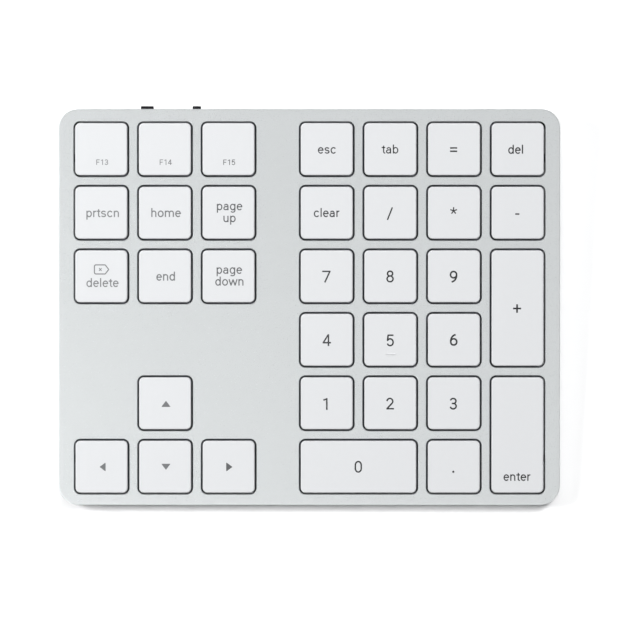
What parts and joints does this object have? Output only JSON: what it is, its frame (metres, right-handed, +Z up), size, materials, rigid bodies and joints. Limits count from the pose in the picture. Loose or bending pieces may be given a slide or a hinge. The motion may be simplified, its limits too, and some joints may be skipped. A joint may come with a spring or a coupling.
{
  "type": "numeric keypad",
  "caption": "Slim wedge-shaped aluminium keypad with sprung low-profile keys, wire-stabilised double keys, slide switch and button on its back edge, and a USB-C inlet.",
  "frame": {"origin": "middle of the footprint's bounding box, on the plane the feet stand on", "axes": "+X to the right of someone typing, +Y to the back edge with the switch and the inlet, +Z up"},
  "size_m": [0.1498, 0.1194, 0.0129],
  "materials": {
    "anodised_aluminium": "fine bead-blasted, clear anodised",
    "key_plastic": "satin off-white",
    "sheet_steel": "plain",
    "membrane_film": "black film",
    "pale_plastic": "plain",
    "dome_rubber": "milky silicone",
    "spring_wire": "drawn wire",
    "board_laminate": "solder mask",
    "chip_plastic": "moulded",
    "plated_steel": "bright nickel",
    "black_plastic": "fine satin",
    "cell_foil": "foil",
    "lead_sleeve": "plain",
    "clear_plastic": "clear",
    "foot_rubber": "matt"
  },
  "bodies": {
    "housing": {"top_case": "anodised_aluminium", "bottom_cover": "anodised_aluminium", "support_plate": "sheet_steel", "membrane_sheet": "membrane_film", "membrane_connector": "pale_plastic", "rubber_domes": "dome_rubber", "scissor_outer_frames": "pale_plastic", "scissor_inner_frames": "pale_plastic", "circuit_board": "board_laminate", "board_chips": "chip_plastic", "usb_c_shell": "plated_steel", "usb_c_tongue": "black_plastic", "power_switch_body": "black_plastic", "pairing_switch_body": "black_plastic", "battery_cell": "cell_foil", "battery_lead": "lead_sleeve", "status_light_pipe": "clear_plastic", "rubber_feet": "foot_rubber", "cover_screws": "plated_steel", "plate_screws": "plated_steel", "board_screws": "plated_steel"},
    "key_f13": {"keycap_f13": "key_plastic"},
    "key_f14": {"keycap_f14": "key_plastic"},
    "key_f15": {"keycap_f15": "key_plastic"},
    "key_print_screen": {"keycap_print_screen": "key_plastic"},
    "key_home": {"keycap_home": "key_plastic"},
    "key_page_up": {"keycap_page_up": "key_plastic"},
    "key_delete": {"keycap_delete": "key_plastic"},
    "key_end": {"keycap_end": "key_plastic"},
    "key_page_down": {"keycap_page_down": "key_plastic"},
    "key_arrow_up": {"keycap_arrow_up": "key_plastic"},
    "key_arrow_left": {"keycap_arrow_left": "key_plastic"},
    "key_arrow_down": {"keycap_arrow_down": "key_plastic"},
    "key_arrow_right": {"keycap_arrow_right": "key_plastic"},
    "key_escape": {"keycap_escape": "key_plastic"},
    "key_tab": {"keycap_tab": "key_plastic"},
    "key_equals": {"keycap_equals": "key_plastic"},
    "key_del": {"keycap_del": "key_plastic"},
    "key_clear": {"keycap_clear": "key_plastic"},
    "key_divide": {"keycap_divide": "key_plastic"},
    "key_multiply": {"keycap_multiply": "key_plastic"},
    "key_minus": {"keycap_minus": "key_plastic"},
    "key_7": {"keycap_7": "key_plastic"},
    "key_8": {"keycap_8": "key_plastic"},
    "key_9": {"keycap_9": "key_plastic"},
    "key_plus": {"keycap_plus": "key_plastic"},
    "key_4": {"keycap_4": "key_plastic"},
    "key_5": {"keycap_5": "key_plastic"},
    "key_6": {"keycap_6": "key_plastic"},
    "key_1": {"keycap_1": "key_plastic"},
    "key_2": {"keycap_2": "key_plastic"},
    "key_3": {"keycap_3": "key_plastic"},
    "key_enter": {"keycap_enter": "key_plastic"},
    "key_0": {"keycap_0": "key_plastic"},
    "key_decimal": {"keycap_decimal": "key_plastic"},
    "wire_plus": {"stabiliser_wire_plus": "spring_wire"},
    "wire_enter": {"stabiliser_wire_enter": "spring_wire"},
    "wire_0": {"stabiliser_wire_0": "spring_wire"},
    "switch_knob": {"power_switch_knob": "black_plastic"},
    "button": {"pairing_button": "black_plastic"}
  },
  "joints": [
    {"name": "key_f13_press", "type": "slide", "parent": "housing", "child": "key_f13", "axis": [0, 0.0523, -0.9986], "range_m": [0, 0.0016], "stiffness_N_per_m": 250, "springref_m": -0.0008, "deforming": ["rubber_domes", "scissor_outer_frames", "scissor_inner_frames"]},
    {"name": "key_f14_press", "type": "slide", "parent": "housing", "child": "key_f14", "axis": [0, 0.0523, -0.9986], "range_m": [0, 0.0016], "stiffness_N_per_m": 250, "springref_m": -0.0008, "deforming": ["rubber_domes", "scissor_outer_frames", "scissor_inner_frames"]},
    {"name": "key_f15_press", "type": "slide", "parent": "housing", "child": "key_f15", "axis": [0, 0.0523, -0.9986], "range_m": [0, 0.0016], "stiffness_N_per_m": 250, "springref_m": -0.0008, "deforming": ["rubber_domes", "scissor_outer_frames", "scissor_inner_frames"]},
    {"name": "key_print_screen_press", "type": "slide", "parent": "housing", "child": "key_print_screen", "axis": [0, 0.0523, -0.9986], "range_m": [0, 0.0016], "stiffness_N_per_m": 250, "springref_m": -0.0008, "deforming": ["rubber_domes", "scissor_outer_frames", "scissor_inner_frames"]},
    {"name": "key_home_press", "type": "slide", "parent": "housing", "child": "key_home", "axis": [0, 0.0523, -0.9986], "range_m": [0, 0.0016], "stiffness_N_per_m": 250, "springref_m": -0.0008, "deforming": ["rubber_domes", "scissor_outer_frames", "scissor_inner_frames"]},
    {"name": "key_page_up_press", "type": "slide", "parent": "housing", "child": "key_page_up", "axis": [0, 0.0523, -0.9986], "range_m": [0, 0.0016], "stiffness_N_per_m": 250, "springref_m": -0.0008, "deforming": ["rubber_domes", "scissor_outer_frames", "scissor_inner_frames"]},
    {"name": "key_delete_press", "type": "slide", "parent": "housing", "child": "key_delete", "axis": [0, 0.0523, -0.9986], "range_m": [0, 0.0016], "stiffness_N_per_m": 250, "springref_m": -0.0008, "deforming": ["rubber_domes", "scissor_outer_frames", "scissor_inner_frames"]},
    {"name": "key_end_press", "type": "slide", "parent": "housing", "child": "key_end", "axis": [0, 0.0523, -0.9986], "range_m": [0, 0.0016], "stiffness_N_per_m": 250, "springref_m": -0.0008, "deforming": ["rubber_domes", "scissor_outer_frames", "scissor_inner_frames"]},
    {"name": "key_page_down_press", "type": "slide", "parent": "housing", "child": "key_page_down", "axis": [0, 0.0523, -0.9986], "range_m": [0, 0.0016], "stiffness_N_per_m": 250, "springref_m": -0.0008, "deforming": ["rubber_domes", "scissor_outer_frames", "scissor_inner_frames"]},
    {"name": "key_arrow_up_press", "type": "slide", "parent": "housing", "child": "key_arrow_up", "axis": [0, 0.0523, -0.9986], "range_m": [0, 0.0016], "stiffness_N_per_m": 250, "springref_m": -0.0008, "deforming": ["rubber_domes", "scissor_outer_frames", "scissor_inner_frames"]},
    {"name": "key_arrow_left_press", "type": "slide", "parent": "housing", "child": "key_arrow_left", "axis": [0, 0.0523, -0.9986], "range_m": [0, 0.0016], "stiffness_N_per_m": 250, "springref_m": -0.0008, "deforming": ["rubber_domes", "scissor_outer_frames", "scissor_inner_frames"]},
    {"name": "key_arrow_down_press", "type": "slide", "parent": "housing", "child": "key_arrow_down", "axis": [0, 0.0523, -0.9986], "range_m": [0, 0.0016], "stiffness_N_per_m": 250, "springref_m": -0.0008, "deforming": ["rubber_domes", "scissor_outer_frames", "scissor_inner_frames"]},
    {"name": "key_arrow_right_press", "type": "slide", "parent": "housing", "child": "key_arrow_right", "axis": [0, 0.0523, -0.9986], "range_m": [0, 0.0016], "stiffness_N_per_m": 250, "springref_m": -0.0008, "deforming": ["rubber_domes", "scissor_outer_frames", "scissor_inner_frames"]},
    {"name": "key_escape_press", "type": "slide", "parent": "housing", "child": "key_escape", "axis": [0, 0.0523, -0.9986], "range_m": [0, 0.0016], "stiffness_N_per_m": 250, "springref_m": -0.0008, "deforming": ["rubber_domes", "scissor_outer_frames", "scissor_inner_frames"]},
    {"name": "key_tab_press", "type": "slide", "parent": "housing", "child": "key_tab", "axis": [0, 0.0523, -0.9986], "range_m": [0, 0.0016], "stiffness_N_per_m": 250, "springref_m": -0.0008, "deforming": ["rubber_domes", "scissor_outer_frames", "scissor_inner_frames"]},
    {"name": "key_equals_press", "type": "slide", "parent": "housing", "child": "key_equals", "axis": [0, 0.0523, -0.9986], "range_m": [0, 0.0016], "stiffness_N_per_m": 250, "springref_m": -0.0008, "deforming": ["rubber_domes", "scissor_outer_frames", "scissor_inner_frames"]},
    {"name": "key_del_press", "type": "slide", "parent": "housing", "child": "key_del", "axis": [0, 0.0523, -0.9986], "range_m": [0, 0.0016], "stiffness_N_per_m": 250, "springref_m": -0.0008, "deforming": ["rubber_domes", "scissor_outer_frames", "scissor_inner_frames"]},
    {"name": "key_clear_press", "type": "slide", "parent": "housing", "child": "key_clear", "axis": [0, 0.0523, -0.9986], "range_m": [0, 0.0016], "stiffness_N_per_m": 250, "springref_m": -0.0008, "deforming": ["rubber_domes", "scissor_outer_frames", "scissor_inner_frames"]},
    {"name": "key_divide_press", "type": "slide", "parent": "housing", "child": "key_divide", "axis": [0, 0.0523, -0.9986], "range_m": [0, 0.0016], "stiffness_N_per_m": 250, "springref_m": -0.0008, "deforming": ["rubber_domes", "scissor_outer_frames", "scissor_inner_frames"]},
    {"name": "key_multiply_press", "type": "slide", "parent": "housing", "child": "key_multiply", "axis": [0, 0.0523, -0.9986], "range_m": [0, 0.0016], "stiffness_N_per_m": 250, "springref_m": -0.0008, "deforming": ["rubber_domes", "scissor_outer_frames", "scissor_inner_frames"]},
    {"name": "key_minus_press", "type": "slide", "parent": "housing", "child": "key_minus", "axis": [0, 0.0523, -0.9986], "range_m": [0, 0.0016], "stiffness_N_per_m": 250, "springref_m": -0.0008, "deforming": ["rubber_domes", "scissor_outer_frames", "scissor_inner_frames"]},
    {"name": "key_7_press", "type": "slide", "parent": "housing", "child": "key_7", "axis": [0, 0.0523, -0.9986], "range_m": [0, 0.0016], "stiffness_N_per_m": 250, "springref_m": -0.0008, "deforming": ["rubber_domes", "scissor_outer_frames", "scissor_inner_frames"]},
    {"name": "key_8_press", "type": "slide", "parent": "housing", "child": "key_8", "axis": [0, 0.0523, -0.9986], "range_m": [0, 0.0016], "stiffness_N_per_m": 250, "springref_m": -0.0008, "deforming": ["rubber_domes", "scissor_outer_frames", "scissor_inner_frames"]},
    {"name": "key_9_press", "type": "slide", "parent": "housing", "child": "key_9", "axis": [0, 0.0523, -0.9986], "range_m": [0, 0.0016], "stiffness_N_per_m": 250, "springref_m": -0.0008, "deforming": ["rubber_domes", "scissor_outer_frames", "scissor_inner_frames"]},
    {"name": "key_plus_press", "type": "slide", "parent": "housing", "child": "key_plus", "axis": [0, 0.0523, -0.9986], "range_m": [0, 0.0016], "stiffness_N_per_m": 250, "springref_m": -0.0008, "deforming": ["rubber_domes", "scissor_outer_frames", "scissor_inner_frames"]},
    {"name": "key_4_press", "type": "slide", "parent": "housing", "child": "key_4", "axis": [0, 0.0523, -0.9986], "range_m": [0, 0.0016], "stiffness_N_per_m": 250, "springref_m": -0.0008, "deforming": ["rubber_domes", "scissor_outer_frames", "scissor_inner_frames"]},
    {"name": "key_5_press", "type": "slide", "parent": "housing", "child": "key_5", "axis": [0, 0.0523, -0.9986], "range_m": [0, 0.0016], "stiffness_N_per_m": 250, "springref_m": -0.0008, "deforming": ["rubber_domes", "scissor_outer_frames", "scissor_inner_frames"]},
    {"name": "key_6_press", "type": "slide", "parent": "housing", "child": "key_6", "axis": [0, 0.0523, -0.9986], "range_m": [0, 0.0016], "stiffness_N_per_m": 250, "springref_m": -0.0008, "deforming": ["rubber_domes", "scissor_outer_frames", "scissor_inner_frames"]},
    {"name": "key_1_press", "type": "slide", "parent": "housing", "child": "key_1", "axis": [0, 0.0523, -0.9986], "range_m": [0, 0.0016], "stiffness_N_per_m": 250, "springref_m": -0.0008, "deforming": ["rubber_domes", "scissor_outer_frames", "scissor_inner_frames"]},
    {"name": "key_2_press", "type": "slide", "parent": "housing", "child": "key_2", "axis": [0, 0.0523, -0.9986], "range_m": [0, 0.0016], "stiffness_N_per_m": 250, "springref_m": -0.0008, "deforming": ["rubber_domes", "scissor_outer_frames", "scissor_inner_frames"]},
    {"name": "key_3_press", "type": "slide", "parent": "housing", "child": "key_3", "axis": [0, 0.0523, -0.9986], "range_m": [0, 0.0016], "stiffness_N_per_m": 250, "springref_m": -0.0008, "deforming": ["rubber_domes", "scissor_outer_frames", "scissor_inner_frames"]},
    {"name": "key_enter_press", "type": "slide", "parent": "housing", "child": "key_enter", "axis": [0, 0.0523, -0.9986], "range_m": [0, 0.0016], "stiffness_N_per_m": 250, "springref_m": -0.0008, "deforming": ["rubber_domes", "scissor_outer_frames", "scissor_inner_frames"]},
    {"name": "key_0_press", "type": "slide", "parent": "housing", "child": "key_0", "axis": [0, 0.0523, -0.9986], "range_m": [0, 0.0016], "stiffness_N_per_m": 250, "springref_m": -0.0008, "deforming": ["rubber_domes", "scissor_outer_frames", "scissor_inner_frames"]},
    {"name": "key_decimal_press", "type": "slide", "parent": "housing", "child": "key_decimal", "axis": [0, 0.0523, -0.9986], "range_m": [0, 0.0016], "stiffness_N_per_m": 250, "springref_m": -0.0008, "deforming": ["rubber_domes", "scissor_outer_frames", "scissor_inner_frames"]},
    {"name": "wire_plus_swing", "type": "hinge", "parent": "key_plus", "child": "wire_plus", "pos_m": [0.05596, -0.00075, 0.00854], "axis": [0, -0.9986, -0.0523], "range_deg": [0, 14.49]},
    {"name": "wire_enter_swing", "type": "hinge", "parent": "key_enter", "child": "wire_enter", "pos_m": [0.05596, -0.0387, 0.00655], "axis": [0, -0.9986, -0.0523], "range_deg": [0, 14.49]},
    {"name": "wire_0_swing", "type": "hinge", "parent": "key_0", "child": "wire_0", "pos_m": [0.01466, -0.042, 0.00638], "axis": [-1, 0, 0], "range_deg": [0, 14.49]},
    {"name": "power_switch_slide", "type": "slide", "parent": "housing", "child": "switch_knob", "axis": [1, 0, 0], "range_m": [0, 0.002]},
    {"name": "pairing_button_press", "type": "slide", "parent": "housing", "child": "button", "axis": [0, -1, 0], "range_m": [0, 0.0004], "stiffness_N_per_m": 800, "springref_m": -0.0005}
  ],
  "couplings": [
    {"joint": "wire_plus_swing", "follows": "key_plus_press", "rad_per_m": 158.03},
    {"joint": "wire_enter_swing", "follows": "key_enter_press", "rad_per_m": 158.03},
    {"joint": "wire_0_swing", "follows": "key_0_press", "rad_per_m": 158.03}
  ]
}
